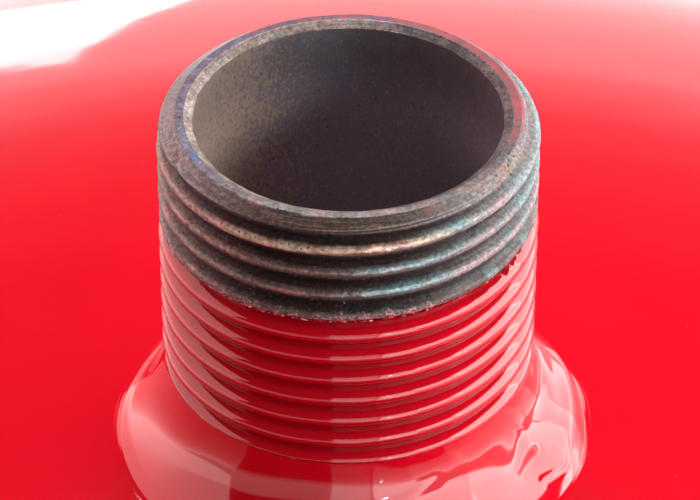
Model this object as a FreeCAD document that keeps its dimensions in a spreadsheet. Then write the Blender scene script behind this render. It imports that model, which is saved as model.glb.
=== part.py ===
"""Upright expansion tank for a heating system: a steel vessel of two drawn halves, closed at
its girth by a rolled ring that also clamps the rubber diaphragm.

Millimetres, +Z up. The origin lies on the floor, on the tank's axis. The water connection is a
welded-on pipe nipple at the top, the gas valve is under the bottom, and three feet carry it.
"""
import FreeCAD, Part
import os
import re
import Sketcher
from FreeCAD import Placement, Rotation, Vector

doc = FreeCAD.newDocument("expansion_tank")

# Driving sizes, in mm
SIZES = [
    # The two drawn halves of the vessel
    ("shell_diameter", 380.0),
    ("shell_wall", 1.5),
    ("crown_radius", 250.0),
    ("knuckle_radius", 76.0),
    ("straight_length", 286.0),
    ("floor_clearance", 72.0),
    # The girth joint: flanges, rolled ring and the diaphragm between them
    ("flange_reach", 11.0),
    ("flange_bend", 3.0),
    ("ring_wall", 2.0),
    ("ring_lip", 7.0),
    ("ring_corner", 2.6),
    ("bead_thickness", 3.0),
    ("bead_inset", 1.0),
    ("diaphragm_wall", 2.0),
    ("diaphragm_gap", 0.4),
    ("diaphragm_corner", 2.4),
    # The water connection, a G 1 nipple cut from DN 25 pipe
    ("nipple_height", 34.1),
    ("thread_diameter", 33.25),
    ("thread_length", 25.9),
    ("pipe_diameter", 33.7),
    ("bore_diameter", 26.9),
    ("bore_chamfer_width", 0.75),
    ("bore_chamfer_height", 0.5),
    ("rim_width", 0.75),
    ("rim_chamfer_height", 1.3),
    ("pipe_end_chamfer", 0.5),
    ("water_hole_diameter", 16.0),
    ("collar_reach", 4.5),
    ("collar_hollow", 14.0),
    # The gas valve's boss, welded under the bottom
    ("boss_diameter", 26.0),
    ("boss_height", 9.0),
    ("boss_chamfer", 0.8),
    ("boss_weld_leg", 4.0),
    ("valve_hole_diameter", 10.0),
    ("seal_pocket_diameter", 14.4),
    ("seal_pocket_depth", 1.4),
    # The valve stem and its seal on the boss
    ("screw_clearance", 0.1),
    ("shank_tail", 1.5),
    ("hex_across_flats", 17.0),
    ("hex_height", 4.0),
    ("stem_diameter", 7.7),
    ("stem_length", 17.0),
    ("stem_chamfer", 0.5),
    ("core_socket_diameter", 5.4),
    ("core_socket_depth", 6.0),
    ("core_taper", 0.6),
    ("core_bore_diameter", 4.4),
    ("core_bore_depth", 20.0),
    ("air_bore_diameter", 3.6),
    ("seal_ring_width", 2.0),
    ("seal_ring_bulge", 0.5),
    # The valve core, a barrel with a sprung pin
    ("core_recess", 0.8),
    ("core_head_height", 4.6),
    ("core_neck_diameter", 3.5),
    ("core_neck_height", 1.8),
    ("core_barrel_diameter", 3.8),
    ("core_barrel_length", 8.0),
    ("spring_room_diameter", 2.6),
    ("spring_room_depth", 11.4),
    ("pin_diameter", 1.4),
    ("pin_guide_clearance", 0.1),
    ("pin_recess", 0.3),
    ("pin_collar_diameter", 2.3),
    ("pin_collar_height", 0.8),
    ("pin_collar_recess", 1.0),
    ("pin_cup_diameter", 3.4),
    ("pin_cup_height", 1.2),
    ("core_seal_thickness", 0.8),
    ("core_seal_gap", 0.05),
    ("spring_wire", 0.3),
    ("spring_diameter", 1.9),
    ("spring_turns", 6.0),
    # The dust cap on the stem and the cover over the whole valve
    ("cap_wall", 1.3),
    ("cap_length", 11.5),
    ("cap_end", 1.4),
    ("cap_seal_thickness", 1.2),
    ("cover_clearance", 0.1),
    ("cover_wall", 1.8),
    ("cover_end", 2.0),
    ("cover_headroom", 2.0),
    ("cover_weld_gap", 0.6),
    ("cover_corner", 3.0),
    ("cover_rib_radius", 0.9),
    ("cover_rib_count", 18.0),
    ("cover_rib_margin", 4.0),
    # The three feet of folded sheet, welded to the bottom
    ("foot_count", 3.0),
    ("foot_inset", 40.0),
    ("foot_sheet", 3.0),
    ("foot_width", 52.0),
    ("foot_bend", 4.0),
    ("foot_pad_length", 42.0),
    ("foot_pad_corner", 9.0),
    ("foot_hole_diameter", 11.0),
    ("foot_hole_inset", 17.0),
    ("foot_weld_leg", 4.0),
]

# Places worked out from the sizes; heights in the vessel count from the girth plane,
# heights on a nipple or a boss count from the crown's top, away from the vessel
PLACES = [
    ("shell_radius", "shell_diameter / 2"),
    ("inner_radius", "shell_radius - shell_wall"),
    ("knuckle_place", "shell_radius - knuckle_radius"),
    ("head_angle", "asin(knuckle_place / (crown_radius - knuckle_radius))"),
    ("head_start", "straight_length / 2"),
    ("crown_centre", "head_start - (crown_radius - knuckle_radius) * cos(head_angle)"),
    ("crown_top", "crown_centre + crown_radius"),
    ("girth_height", "floor_clearance + crown_top"),
    ("nipple_foot", "girth_height + crown_top"),
    ("flange_face", "bead_thickness / 2"),
    ("flange_back", "flange_face + shell_wall"),
    ("flange_radius", "shell_radius + flange_reach"),
    ("bend_place", "shell_radius + flange_bend"),
    ("bend_height", "flange_back + flange_bend"),
    ("lining_radius", "inner_radius - diaphragm_gap"),
    ("lining_crown", "crown_radius - shell_wall - diaphragm_gap"),
    ("lining_knuckle", "knuckle_radius - shell_wall - diaphragm_gap"),
    ("nipple_radius", "pipe_diameter / 2"),
    ("rim_inside", "bore_diameter / 2 + bore_chamfer_width"),
    ("collar_toe", "nipple_radius + collar_reach"),
    ("collar_top", "nipple_height - thread_length"),
    ("boss_radius", "boss_diameter / 2"),
    ("hex_top", "boss_height + hex_height"),
    ("stem_top", "hex_top + stem_length"),
    ("core_top", "stem_top - core_recess"),
    ("core_shoulder", "core_top - core_head_height"),
    ("core_neck_end", "core_shoulder - core_neck_height"),
    ("core_end", "core_neck_end - core_barrel_length"),
    ("spring_seat", "core_top - spring_room_depth"),
    ("collar_seat", "core_top - pin_collar_recess - pin_collar_height"),
    ("seal_face", "core_end - core_seal_gap"),
    ("cup_face", "seal_face - core_seal_thickness"),
    ("cap_roof", "stem_top + cap_seal_thickness"),
    ("cap_top", "cap_roof + cap_end"),
    ("cap_radius", "stem_diameter / 2 + screw_clearance + cap_wall"),
    ("cover_mouth", "boss_weld_leg + cover_weld_gap"),
    ("cover_radius", "boss_radius + cover_clearance"),
    ("cover_roof", "cap_top + cover_headroom"),
    ("cover_top", "cover_roof + cover_end"),
    ("foot_face", "shell_radius - foot_inset"),
    ("foot_back", "foot_face + foot_sheet"),
    ("foot_pad_end", "foot_back + foot_pad_length"),
    ("foot_hole_place", "foot_pad_end - foot_hole_inset"),
    ("foot_angle", "foot_width / foot_back * 180 / pi"),
]

NAMES = {}


def fill_sheet(label, rows):
    """A sheet of names and values. A value is a number, or a formula of names known so far."""
    sheet = doc.addObject("Spreadsheet::Sheet", label)
    for row, (name, value) in enumerate(rows, start=1):
        sheet.set(f"A{row}", name)
        sheet.set(f"B{row}", "=" + bound(value) if isinstance(value, str) else str(value))
        sheet.setAlias(f"B{row}", name)
        NAMES[name] = f"{label}.{name}"
    doc.recompute()
    return sheet


def bound(formula):
    """The formula with each name written as a sheet's cell."""
    return re.sub(r"[a-z_]+", lambda word: NAMES.get(word.group(), word.group()), formula)


def value_of(formula):
    """What a formula comes to now."""
    result = sizes.evalExpression(bound(formula))
    return float(getattr(result, "Value", result))


def crown_drop(radius):
    """How far the crown lies below its own top, that far out from the axis."""
    return f"(crown_radius - sqrt(crown_radius ^ 2 - ({radius}) ^ 2))"


def new_body(label):
    body = doc.addObject("PartDesign::Body", label)
    body.Label = label
    return body


def new_sketch(body, name, role, height=None):
    """A sketch on one of the body's own planes, XZ for sections and XY for plan views."""
    sketch = body.newObject("Sketcher::SketchObject", name)
    plane = next(item for item in body.Origin.OriginFeatures if item.Role == role)
    sketch.AttachmentSupport = [(plane, "")]
    sketch.MapMode = "FlatFace"
    if height:
        sketch.setExpression("AttachmentOffset.Base.z", bound(height))
    return sketch


def dimension(sketch, kind, where, formula):
    """A dimension bound to a formula; one of zero puts the point on an axis of the sketch."""
    if formula == "0":
        axis = {"DistanceX": -2, "DistanceY": -1}[kind]
        sketch.addConstraint(Sketcher.Constraint("PointOnObject", where[-2], where[-1], axis))
        return
    number = sketch.addConstraint(Sketcher.Constraint(kind, *where, value_of(formula)))
    sketch.setExpression(f"Constraints[{number}]", bound(formula))


def arc_between(start, end, radius, bulge):
    """The short arc from start to end that bulges to the left or the right of the way there.
    Its ends come out swapped when it runs clockwise."""
    middle = (start + end) / 2
    chord = end - start
    left = Vector(-chord.y, chord.x, 0) / chord.Length
    rise = (max(radius ** 2 - chord.Length ** 2 / 4, 0)) ** 0.5
    swapped = bulge == "left"
    centre = middle - left * rise if swapped else middle + left * rise
    first, last = (end, start) if swapped else (start, end)
    circle = Part.Circle(centre, Vector(0, 0, 1), radius)
    return Part.ArcOfCircle(circle, circle.parameter(first), circle.parameter(last)), swapped


def draw_outline(sketch, points, arcs=None):
    """A closed outline through the points, each a pair of formulas. arcs gives, for the edge
    that leaves a point, the formula of its radius and the side that it bulges to."""
    arcs = arcs or {}
    places = [Vector(value_of(across), value_of(up), 0) for across, up in points]
    ends = []
    for index, start in enumerate(places):
        end = places[(index + 1) % len(places)]
        if index in arcs:
            radius, bulge = arcs[index]
            curve, swapped = arc_between(start, end, value_of(radius), bulge)
            edge = sketch.addGeometry(curve)
            ends.append((edge, 2, 1) if swapped else (edge, 1, 2))
        else:
            edge = sketch.addGeometry(Part.LineSegment(start, end))
            ends.append((edge, 1, 2))
    for index, (edge, first, last) in enumerate(ends):
        following, next_first, _ = ends[(index + 1) % len(ends)]
        sketch.addConstraint(Sketcher.Constraint("Coincident", edge, last, following, next_first))
    for (edge, first, last), (across, up) in zip(ends, points):
        dimension(sketch, "DistanceX", (-1, 1, edge, first), across)
        dimension(sketch, "DistanceY", (-1, 1, edge, first), up)
    for index, (radius, bulge) in arcs.items():
        dimension(sketch, "Radius", (ends[index][0],), radius)
    return sketch


def draw_circle(sketch, across, up, radius):
    circle = Part.Circle(Vector(value_of(across), value_of(up), 0), Vector(0, 0, 1), value_of(radius))
    edge = sketch.addGeometry(circle)
    dimension(sketch, "DistanceX", (-1, 1, edge, 3), across)
    dimension(sketch, "DistanceY", (-1, 1, edge, 3), up)
    dimension(sketch, "Radius", (edge,), radius)
    return sketch


def turn(body, kind, name, points, arcs=None, angle=None):
    """A section turned about the body's own upright axis, as a Revolution or a Groove."""
    sketch = draw_outline(new_sketch(body, name + "_section", "XZ_Plane"), points, arcs)
    feature = body.newObject("PartDesign::" + kind, name)
    feature.Profile = sketch
    feature.ReferenceAxis = (sketch, ["V_Axis"])
    feature.Angle = 360
    if angle:
        feature.Midplane = True
        feature.setExpression("Angle", bound(angle))
    return feature


def crown_pocket(body, name, radius):
    """A round hole through the crown, cut upwards from the girth plane."""
    sketch = draw_circle(new_sketch(body, name + "_circle", "XY_Plane"), "0", "0", radius)
    pocket = body.newObject("PartDesign::Pocket", name)
    pocket.Profile = sketch
    pocket.Type = "ThroughAll"
    pocket.Reversed = True
    return pocket


def stand(body, height, upside_down=False):
    """Puts a piece that was drawn about its own seat in its place on the tank's axis."""
    if upside_down:
        body.Placement = Placement(Vector(), Rotation(Vector(1, 0, 0), 180))
    body.setExpression("Placement.Base.z", bound(height))
    return body


# The vessel's two halves are the same drawing of sheet: a crown, a knuckle, a straight wall
# and a flange that turns out at the girth
def half_shell(label, hole_radius, upside_down):
    body = new_body(label)
    inner_crown = "(crown_radius - shell_wall)"
    turn(body, "Revolution", label + "_drawing", [
        ("flange_radius", "flange_face"),
        ("bend_place", "flange_face"),
        ("inner_radius", "bend_height"),
        ("inner_radius", "head_start"),
        (inner_crown + " * sin(head_angle)", "crown_centre + " + inner_crown + " * cos(head_angle)"),
        ("0", "crown_top - shell_wall"),
        ("0", "crown_top"),
        ("crown_radius * sin(head_angle)", "crown_centre + crown_radius * cos(head_angle)"),
        ("shell_radius", "head_start"),
        ("shell_radius", "bend_height"),
        ("bend_place", "flange_back"),
        ("flange_radius", "flange_back"),
    ], {
        1: ("flange_bend + shell_wall", "left"),
        3: ("knuckle_radius - shell_wall", "right"),
        4: ("crown_radius - shell_wall", "right"),
        6: ("crown_radius", "left"),
        7: ("knuckle_radius", "left"),
        9: ("flange_bend", "right"),
    })
    crown_pocket(body, label + "_hole", hole_radius)
    return stand(body, "girth_height", upside_down)


def upper_shell():
    return half_shell("upper_shell", "water_hole_diameter / 2", False)


def lower_shell():
    return half_shell("lower_shell", "valve_hole_diameter / 2", True)


# A steel band of U section, rolled shut over both flanges
def clench_ring():
    body = new_body("clench_ring")
    inside = "flange_back"
    outside = "flange_back + ring_wall"
    edge = "flange_radius - ring_lip"
    rim = "flange_radius + ring_wall"
    turn(body, "Revolution", "ring_rolling", [
        (edge, inside),
        (edge, outside),
        (rim + " - ring_corner", outside),
        (rim, outside + " - ring_corner"),
        (rim, "ring_corner - (" + outside + ")"),
        (rim + " - ring_corner", "-(" + outside + ")"),
        (edge, "-(" + outside + ")"),
        (edge, "-(" + inside + ")"),
        ("flange_radius", "-(" + inside + ")"),
        ("flange_radius", inside),
    ], {2: ("ring_corner", "left"), 4: ("ring_corner", "left")})
    return stand(body, "girth_height")


# The moulded rubber diaphragm. The gas charge holds it against the water side of the vessel,
# and its bead is clamped between the flanges
def diaphragm():
    body = new_body("diaphragm")
    inside = "(lining_radius - diaphragm_wall)"
    inner_crown = "(lining_crown - diaphragm_wall)"
    turn(body, "Revolution", "diaphragm_moulding", [
        ("flange_radius - bead_inset", "-flange_face"),
        ("flange_radius - bead_inset", "flange_face"),
        ("bend_place", "flange_face"),
        ("bend_place", "flange_face - diaphragm_gap"),
        ("lining_radius", "bend_height"),
        ("lining_radius", "head_start"),
        ("lining_crown * sin(head_angle)", "crown_centre + lining_crown * cos(head_angle)"),
        ("0", "crown_centre + lining_crown"),
        ("0", "crown_centre + " + inner_crown),
        (inner_crown + " * sin(head_angle)", "crown_centre + " + inner_crown + " * cos(head_angle)"),
        (inside, "head_start"),
        (inside, "diaphragm_corner - flange_face"),
        (inside + " + diaphragm_corner", "-flange_face"),
    ], {
        3: ("flange_bend + shell_wall + diaphragm_gap", "left"),
        5: ("lining_knuckle", "right"),
        6: ("lining_crown", "right"),
        8: ("lining_crown - diaphragm_wall", "left"),
        9: ("lining_knuckle - diaphragm_wall", "left"),
        11: ("diaphragm_corner", "right"),
    })
    return stand(body, "girth_height")


# The water connection is a length of pipe, threaded outside, faced at the top with a chamfer
# on either side of the rim, and chamfered inside at its cut end. Its thread is drawn as the
# cylinder over its crests
def pipe_nipple():
    body = new_body("pipe_nipple")
    bore = "bore_diameter / 2"
    end = bore + " + pipe_end_chamfer"
    turn(body, "Revolution", "nipple_turning", [
        (end, "-" + crown_drop(end)),
        (bore, "pipe_end_chamfer - " + crown_drop(end)),
        (bore, "nipple_height - bore_chamfer_height"),
        ("rim_inside", "nipple_height"),
        ("rim_inside + rim_width", "nipple_height"),
        ("thread_diameter / 2", "nipple_height - rim_chamfer_height"),
        ("thread_diameter / 2", "collar_top"),
        ("nipple_radius", "collar_top"),
        ("nipple_radius", "-" + crown_drop("nipple_radius")),
    ], {8: ("crown_radius", "right")})
    return stand(body, "nipple_foot")


def fillet_weld(label, place, radius, top, toe, hollow, upside_down=False):
    """A ring of weld in the corner between an upright round piece and the crown."""
    body = new_body(label)
    turn(body, "Revolution", label + "_bead", [
        (radius, "-" + crown_drop(radius)),
        (radius, top),
        (toe, "-" + crown_drop(toe)),
    ], {1: (hollow, "right"), 2: ("crown_radius", "right")})
    return stand(body, place, upside_down)


def nipple_weld():
    return fillet_weld("nipple_weld", "nipple_foot", "nipple_radius", "collar_top", "collar_toe",
                       "collar_hollow")


# The valve's boss is turned from bar, drilled and faced with a pocket for the stem's seal
def valve_boss():
    body = new_body("valve_boss")
    hole = "valve_hole_diameter / 2"
    pocket = "seal_pocket_diameter / 2"
    turn(body, "Revolution", "boss_turning", [
        (hole, "-" + crown_drop(hole)),
        (hole, "boss_height - seal_pocket_depth"),
        (pocket, "boss_height - seal_pocket_depth"),
        (pocket, "boss_height"),
        ("boss_radius - boss_chamfer", "boss_height"),
        ("boss_radius", "boss_height - boss_chamfer"),
        ("boss_radius", "-" + crown_drop("boss_radius")),
    ], {6: ("crown_radius", "right")})
    return stand(body, "floor_clearance", True)


def valve_boss_weld():
    return fillet_weld("valve_boss_weld", "floor_clearance", "boss_radius", "boss_weld_leg",
                       "boss_radius + boss_weld_leg", "boss_weld_leg * 2", True)


# The brass stem screws into the boss by its shank, up to its hexagon
def valve_stem():
    body = new_body("valve_stem")
    shank = "valve_hole_diameter / 2 - screw_clearance"
    neck = "stem_diameter / 2"
    turn(body, "Revolution", "stem_turning", [
        ("0", "-shell_wall - shank_tail"),
        (shank, "-shell_wall - shank_tail"),
        (shank, "boss_height"),
        (neck, "boss_height"),
        (neck, "stem_top - stem_chamfer"),
        (neck + " - stem_chamfer", "stem_top"),
        ("0", "stem_top"),
    ])
    sketch = new_sketch(body, "hexagon", "XY_Plane", "boss_height")
    half = "hex_across_flats / 2"
    corner = "hex_across_flats / sqrt(3)"
    draw_outline(sketch, [
        (corner, "0"),
        (corner + " / 2", half),
        ("-" + corner + " / 2", half),
        ("-" + corner, "0"),
        ("-" + corner + " / 2", "-" + half),
        (corner + " / 2", "-" + half),
    ])
    pad = body.newObject("PartDesign::Pad", "hexagon_pad")
    pad.Profile = sketch
    pad.setExpression("Length", bound("hex_height"))
    socket = "core_socket_diameter / 2"
    bore = "core_bore_diameter / 2"
    air = "air_bore_diameter / 2"
    turn(body, "Groove", "stem_boring", [
        ("0", "-shell_wall - shank_tail"),
        (air, "-shell_wall - shank_tail"),
        (air, "stem_top - core_bore_depth"),
        (bore, "stem_top - core_bore_depth"),
        (bore, "stem_top - core_socket_depth - core_taper"),
        (socket, "stem_top - core_socket_depth"),
        (socket, "stem_top"),
        ("0", "stem_top"),
    ])
    return stand(body, "floor_clearance", True)


# A rubber ring between the hexagon and the boss, pressed flat in its pocket
def valve_o_ring():
    body = new_body("valve_o_ring")
    inner = "seal_pocket_diameter / 2 - seal_ring_width"
    outer = "seal_pocket_diameter / 2 - seal_ring_bulge"
    low = "boss_height - seal_pocket_depth"
    round_side = "(seal_pocket_depth ^ 2 / 4 + seal_ring_bulge ^ 2) / (2 * seal_ring_bulge)"
    turn(body, "Revolution", "ring_moulding", [
        (inner + " + seal_ring_bulge", low),
        (outer, low),
        (outer, "boss_height"),
        (inner + " + seal_ring_bulge", "boss_height"),
    ], {1: (round_side, "right"), 3: (round_side, "right")})
    return stand(body, "floor_clearance", True)


# The core's brass barrel screws into the stem and guides the pin
def valve_core_barrel():
    body = new_body("valve_core_barrel")
    head = "core_socket_diameter / 2 - screw_clearance"
    room = "spring_room_diameter / 2"
    guide = "pin_diameter / 2 + pin_guide_clearance"
    turn(body, "Revolution", "barrel_turning", [
        (guide, "core_end"),
        ("core_barrel_diameter / 2", "core_end"),
        ("core_barrel_diameter / 2", "core_neck_end"),
        ("core_neck_diameter / 2", "core_neck_end"),
        ("core_neck_diameter / 2", "core_shoulder"),
        (head, "core_shoulder"),
        (head, "core_top"),
        (room, "core_top"),
        (room, "spring_seat"),
        (guide, "spring_seat"),
    ])
    return stand(body, "floor_clearance", True)


# A ring on the barrel's neck that seals it in the stem's taper
def valve_core_gasket():
    body = new_body("valve_core_gasket")
    neck = "core_neck_diameter / 2"
    narrow = "core_bore_diameter / 2 - screw_clearance / 2"
    wide = "core_socket_diameter / 2 - screw_clearance"
    turn(body, "Revolution", "gasket_moulding", [
        (neck, "core_neck_end"),
        (narrow, "core_neck_end"),
        (narrow, "stem_top - core_socket_depth - core_taper"),
        (wide, "stem_top - core_socket_depth + screw_clearance"),
        (wide, "core_shoulder"),
        (neck, "core_shoulder"),
    ])
    return stand(body, "floor_clearance", True)


# The pin runs through the barrel, with a collar that the spring bears on and a cup for the seal
def valve_core_pin():
    body = new_body("valve_core_pin")
    rod = "pin_diameter / 2"
    turn(body, "Revolution", "pin_turning", [
        ("0", "cup_face - pin_cup_height"),
        ("pin_cup_diameter / 2", "cup_face - pin_cup_height"),
        ("pin_cup_diameter / 2", "cup_face"),
        (rod, "cup_face"),
        (rod, "collar_seat"),
        ("pin_collar_diameter / 2", "collar_seat"),
        ("pin_collar_diameter / 2", "collar_seat + pin_collar_height"),
        (rod, "collar_seat + pin_collar_height"),
        (rod, "stem_top - pin_recess"),
        ("0", "stem_top - pin_recess"),
    ])
    return stand(body, "floor_clearance", True)


def flat_ring(label, name, inner, outer, low, high):
    """A plain ring or, with no hole, a disc, drawn about the valve's axis."""
    body = new_body(label)
    turn(body, "Revolution", name, [(inner, low), (outer, low), (outer, high), (inner, high)])
    return stand(body, "floor_clearance", True)


def valve_core_seal():
    return flat_ring("valve_core_seal", "seal_moulding", "pin_diameter / 2",
                     "pin_cup_diameter / 2", "cup_face", "seal_face")


# The spring pushes the pin's collar out from the seat in the barrel
def valve_core_spring():
    body = new_body("valve_core_spring")
    sketch = new_sketch(body, "wire_section", "XZ_Plane")
    draw_circle(sketch, "spring_diameter / 2", "spring_seat + spring_wire / 2", "spring_wire / 2")
    coil = body.newObject("PartDesign::AdditiveHelix", "coil")
    coil.Profile = sketch
    coil.ReferenceAxis = (sketch, ["V_Axis"])
    coil.Mode = "height-turns-angle"
    coil.setExpression("Height", bound("collar_seat - spring_seat - spring_wire"))
    coil.setExpression("Turns", bound("spring_turns"))
    return stand(body, "floor_clearance", True)


# The dust cap screws on to the stem over its own rubber disc
def valve_cap():
    body = new_body("valve_cap")
    bore = "stem_diameter / 2 + screw_clearance"
    turn(body, "Revolution", "cap_turning", [
        (bore, "cap_top - cap_length"),
        ("cap_radius", "cap_top - cap_length"),
        ("cap_radius", "cap_top - cap_end"),
        ("cap_radius - cap_end", "cap_top"),
        ("0", "cap_top"),
        ("0", "cap_roof"),
        (bore, "cap_roof"),
    ], {2: ("cap_end", "right")})
    return stand(body, "floor_clearance", True)


def valve_cap_seal():
    return flat_ring("valve_cap_seal", "disc_stamping", "0", "stem_diameter / 2",
                     "stem_top", "cap_roof")


# The moulded plastic cover is pushed over the boss, and has ribs to grip it by
def valve_cover():
    body = new_body("valve_cover")
    outside = "cover_radius + cover_wall"
    turn(body, "Revolution", "cover_moulding", [
        ("cover_radius", "cover_mouth"),
        (outside, "cover_mouth"),
        (outside, "cover_top - cover_corner"),
        (outside + " - cover_corner", "cover_top"),
        ("0", "cover_top"),
        ("0", "cover_roof"),
        ("cover_radius", "cover_roof"),
    ], {2: ("cover_corner", "right")})
    low = "cover_mouth + cover_rib_margin"
    sketch = draw_circle(new_sketch(body, "rib_section", "XY_Plane", low), outside, "0",
                         "cover_rib_radius")
    rib = body.newObject("PartDesign::Pad", "rib")
    rib.Profile = sketch
    rib.setExpression("Length", bound("cover_top - cover_corner - (" + low + ")"))
    ribs = body.newObject("PartDesign::PolarPattern", "ribs")
    ribs.Originals = [rib]
    ribs.Axis = (sketch, ["N_Axis"])
    ribs.Angle = 360
    ribs.setExpression("Occurrences", bound("cover_rib_count"))
    body.Tip = ribs
    return stand(body, "floor_clearance", True)


def cope_to_head(body, name, angle):
    """Cuts away what would stand in the vessel's lower head, crown and knuckle."""
    beyond = "shell_radius + foot_pad_length"
    turn(body, "Groove", name, [
        ("0", "floor_clearance"),
        ("crown_radius * sin(head_angle)",
         "girth_height - crown_centre - crown_radius * cos(head_angle)"),
        ("shell_radius", "girth_height - head_start"),
        (beyond, "girth_height - head_start"),
        (beyond, "girth_height"),
        ("0", "girth_height"),
    ], {0: ("crown_radius", "right"), 1: ("knuckle_radius", "right")}, angle)


# A foot is a strip of sheet, rolled to a round about the tank's axis, with its end folded out
# to a pad that has a hole for a floor bolt
def foot(number, bearing):
    body = new_body(f"foot_{number}")
    folding = turn(body, "Revolution", f"foot_folding_{number}", [
        ("foot_face", "girth_height - head_start"),
        ("foot_face", "foot_bend + foot_sheet"),
        ("foot_back + foot_bend", "0"),
        ("foot_pad_end", "0"),
        ("foot_pad_end", "foot_sheet"),
        ("foot_back + foot_bend", "foot_sheet"),
        ("foot_back", "foot_sheet + foot_bend"),
        ("foot_back", "girth_height - head_start"),
    ], {1: ("foot_bend + foot_sheet", "right"), 5: ("foot_bend", "left")}, "foot_angle")
    cope_to_head(body, f"foot_coping_{number}", "foot_angle * 2")
    sketch = new_sketch(body, f"foot_hole_circle_{number}", "XY_Plane")
    draw_circle(sketch, "foot_hole_place", "0", "foot_hole_diameter / 2")
    hole = body.newObject("PartDesign::Pocket", f"foot_hole_{number}")
    hole.Profile = sketch
    hole.Reversed = True
    hole.setExpression("Length", bound("foot_sheet"))
    doc.recompute()
    corners = body.newObject("PartDesign::Fillet", f"pad_corners_{number}")
    corners.Base = (hole, pad_corner_edges(hole.Shape))
    corners.setExpression("Radius", bound("foot_pad_corner"))
    body.Tip = corners
    body.Placement = Placement(Vector(), Rotation(Vector(0, 0, 1), bearing))
    return body


def pad_corner_edges(shape):
    """The two upright edges at the outer end of a foot's pad."""
    reach = value_of("foot_pad_end")
    names = []
    for number, edge in enumerate(shape.Edges, start=1):
        ends = [vertex.Point for vertex in edge.Vertexes]
        upright = len(ends) == 2 and (ends[0] - ends[1]).cross(Vector(0, 0, 1)).Length < 0.01
        if upright and abs(Vector(ends[0].x, ends[0].y, 0).Length - reach) < 0.01:
            names.append(f"Edge{number}")
    return names


# One bead runs all round the top of a foot, where it meets the lower head
def foot_weld(number, bearing):
    body = new_body(f"foot_weld_{number}")
    top = "girth_height - head_start"
    turn(body, "Revolution", f"foot_bead_{number}", [
        ("foot_face - foot_weld_leg", top),
        ("foot_face - foot_weld_leg", "floor_clearance + " + crown_drop("foot_face - foot_weld_leg")),
        ("foot_face", "floor_clearance + " + crown_drop("foot_face") + " - foot_weld_leg"),
        ("foot_back", "floor_clearance + " + crown_drop("foot_back") + " - foot_weld_leg"),
        ("foot_back + foot_weld_leg",
         "floor_clearance + " + crown_drop("foot_back + foot_weld_leg")),
        ("foot_back + foot_weld_leg", top),
    ], None, "(foot_width + foot_weld_leg * 2) / foot_back * 180 / pi")
    cope_to_head(body, f"bead_coping_{number}", "foot_angle * 2")
    turn(body, "Groove", f"foot_slot_{number}", [
        ("foot_face", "0"),
        ("foot_back", "0"),
        ("foot_back", top),
        ("foot_face", top),
    ], None, "foot_angle")
    body.Placement = Placement(Vector(), Rotation(Vector(0, 0, 1), bearing))
    return body


sizes = fill_sheet("Sizes", SIZES)
fill_sheet("Places", PLACES)

pieces = [
    upper_shell(),
    lower_shell(),
    clench_ring(),
    diaphragm(),
    pipe_nipple(),
    nipple_weld(),
    valve_boss(),
    valve_boss_weld(),
    valve_stem(),
    valve_o_ring(),
    valve_core_barrel(),
    valve_core_gasket(),
    valve_core_pin(),
    valve_core_seal(),
    valve_core_spring(),
    valve_cap(),
    valve_cap_seal(),
    valve_cover(),
]
foot_total = int(value_of("foot_count"))
for index in range(foot_total):
    bearing = 90 + index * 360 / foot_total
    pieces.append(foot(index + 1, bearing))
    pieces.append(foot_weld(index + 1, bearing))

doc.recompute()

for item in doc.Objects:
    if "Invalid" in item.State or "Error" in item.State:
        raise RuntimeError(f"{item.Label} failed: {item.State}")
for piece in pieces:
    if piece.Shape.isNull() or not piece.Shape.isValid() or len(piece.Shape.Solids) != 1:
        raise RuntimeError(f"{piece.Label} is not one sound solid")

os.makedirs("parts", exist_ok=True)
for piece in pieces:
    piece.Shape.exportStep(f"parts/{piece.Label}.step")
    box = piece.Shape.BoundBox
    print(f"{piece.Label}: {piece.Shape.Volume:.1f} mm3, z {box.ZMin:.2f} to {box.ZMax:.2f}")
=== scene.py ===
"""An upright expansion tank, enamelled gloss red, with a bare heat-tinted nipple on top.

Metres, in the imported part's own frame. Shapes are worked out in millimetres as numpy grids and
made smaller when they become meshes. A bearing is an angle round the tank, 0 at the front (-Y)
and 90 degrees at the right (+X).
"""

import bmesh
import bpy
import math
import mathutils
import numpy as np
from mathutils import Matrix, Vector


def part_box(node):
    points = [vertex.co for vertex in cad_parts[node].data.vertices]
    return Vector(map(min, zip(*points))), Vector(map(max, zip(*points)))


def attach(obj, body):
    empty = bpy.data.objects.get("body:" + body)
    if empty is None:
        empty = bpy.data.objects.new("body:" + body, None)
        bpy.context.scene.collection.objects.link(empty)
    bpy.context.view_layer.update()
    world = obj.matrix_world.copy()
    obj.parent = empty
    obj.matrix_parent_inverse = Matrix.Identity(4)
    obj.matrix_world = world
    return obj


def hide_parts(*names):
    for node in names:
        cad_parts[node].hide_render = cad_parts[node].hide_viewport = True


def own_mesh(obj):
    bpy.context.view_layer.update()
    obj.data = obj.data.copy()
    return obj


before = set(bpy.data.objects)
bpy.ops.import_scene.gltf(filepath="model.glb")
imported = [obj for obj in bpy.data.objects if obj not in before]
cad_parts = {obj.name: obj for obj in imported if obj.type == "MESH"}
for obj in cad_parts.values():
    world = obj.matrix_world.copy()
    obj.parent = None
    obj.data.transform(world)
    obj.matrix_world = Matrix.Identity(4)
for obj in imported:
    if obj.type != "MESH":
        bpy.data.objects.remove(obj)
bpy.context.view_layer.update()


# The vessel's two halves are drawn from steel sheet: a crown, a knuckle, a straight wall and a
# flange that turns out at the girth. After welding the whole vessel is enamelled gloss red.
MM = 0.001
SHELL_RADIUS = 190.0
SHELL_WALL = 1.5
CROWN_RADIUS = 250.0
KNUCKLE_RADIUS = 76.0
STRAIGHT_LENGTH = 286.0
FLANGE_REACH = 11.0
FLANGE_BEND = 3.0
FLANGE_FACE = 1.5
FLANGE_EDGE = 0.3
WATER_HOLE_RADIUS = 8.0
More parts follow.
